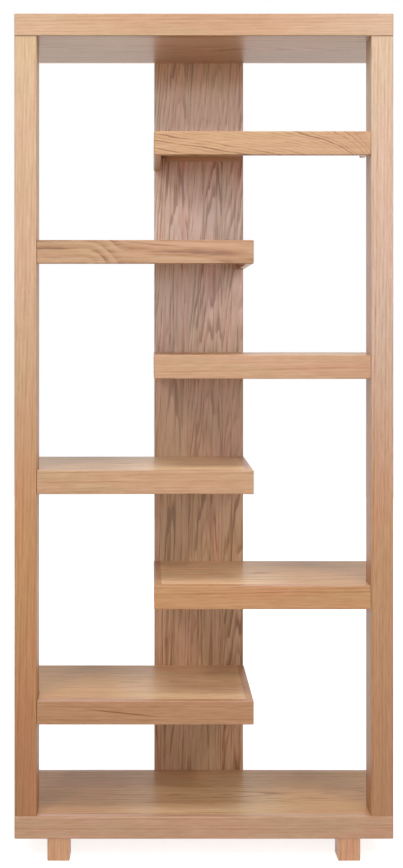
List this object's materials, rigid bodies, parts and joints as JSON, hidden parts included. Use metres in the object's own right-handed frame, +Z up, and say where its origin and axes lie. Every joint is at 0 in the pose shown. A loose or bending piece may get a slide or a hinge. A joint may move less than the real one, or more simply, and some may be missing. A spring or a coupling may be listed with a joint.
{
  "type": "staircase bookshelf",
  "caption": "Tall open oak bookcase: two front posts and a central rear spine carry shelves that step alternately left and right between a thick top and a thick base on square feet.",
  "frame": {"origin": "on the floor, under the middle of the bookcase's overall box", "axes": "+X to the right as seen from the front, +Y from the front towards the spine at the back, +Z up"},
  "size_m": [0.85, 0.32, 1.9],
  "materials": {
    "solid_oak": "clear satin lacquer",
    "oak_veneer": "clear satin lacquer",
    "oak_cleats": "clear satin lacquer",
    "core_timber": "planed, unfinished",
    "dowel_beech": "fluted, unfinished",
    "zinc_steel": "zinc plated"
  },
  "bodies": {
    "root": {"left_post": "solid_oak", "right_post": "solid_oak", "foot_front_left": "solid_oak", "foot_front_right": "solid_oak", "foot_back_left": "solid_oak", "foot_back_right": "solid_oak", "base_front_fascia": "solid_oak", "base_back_fascia": "solid_oak", "base_left_fascia": "solid_oak", "base_right_fascia": "solid_oak", "top_front_fascia": "solid_oak", "top_back_fascia": "solid_oak", "top_left_fascia": "solid_oak", "top_right_fascia": "solid_oak", "shelf_1_front_fascia": "solid_oak", "shelf_1_free_end_fascia": "solid_oak", "shelf_1_outer_end_fascia": "solid_oak", "shelf_2_front_fascia": "solid_oak", "shelf_2_free_end_fascia": "solid_oak", "shelf_2_outer_end_fascia": "solid_oak", "shelf_3_front_fascia": "solid_oak", "shelf_3_free_end_fascia": "solid_oak", "shelf_3_outer_end_fascia": "solid_oak", "shelf_4_front_fascia": "solid_oak", "shelf_4_free_end_fascia": "solid_oak", "shelf_4_outer_end_fascia": "solid_oak", "shelf_5_front_fascia": "solid_oak", "shelf_5_free_end_fascia": "solid_oak", "shelf_5_outer_end_fascia": "solid_oak", "shelf_6_front_fascia": "solid_oak", "shelf_6_free_end_fascia": "solid_oak", "shelf_6_outer_end_fascia": "solid_oak", "spine_panel": "oak_veneer", "base_upper_board": "oak_veneer", "base_lower_board": "oak_veneer", "top_upper_board": "oak_veneer", "top_lower_board": "oak_veneer", "shelf_1_deck": "oak_veneer", "shelf_2_deck": "oak_veneer", "shelf_3_deck": "oak_veneer", "shelf_4_deck": "oak_veneer", "shelf_5_deck": "oak_veneer", "shelf_6_deck": "oak_veneer", "shelf_1_cleat": "oak_cleats", "shelf_2_cleat": "oak_cleats", "shelf_3_cleat": "oak_cleats", "shelf_4_cleat": "oak_cleats", "shelf_5_cleat": "oak_cleats", "shelf_6_cleat": "oak_cleats", "post_blocks": "oak_cleats", "base_core_blocks": "core_timber", "top_core_blocks": "core_timber", "post_dowels": "dowel_beech", "spine_screws": "zinc_steel", "deck_screws": "zinc_steel", "block_screws": "zinc_steel", "post_bolts": "zinc_steel", "foot_bolts": "zinc_steel", "threaded_inserts": "zinc_steel"}
  },
  "joints": []
}
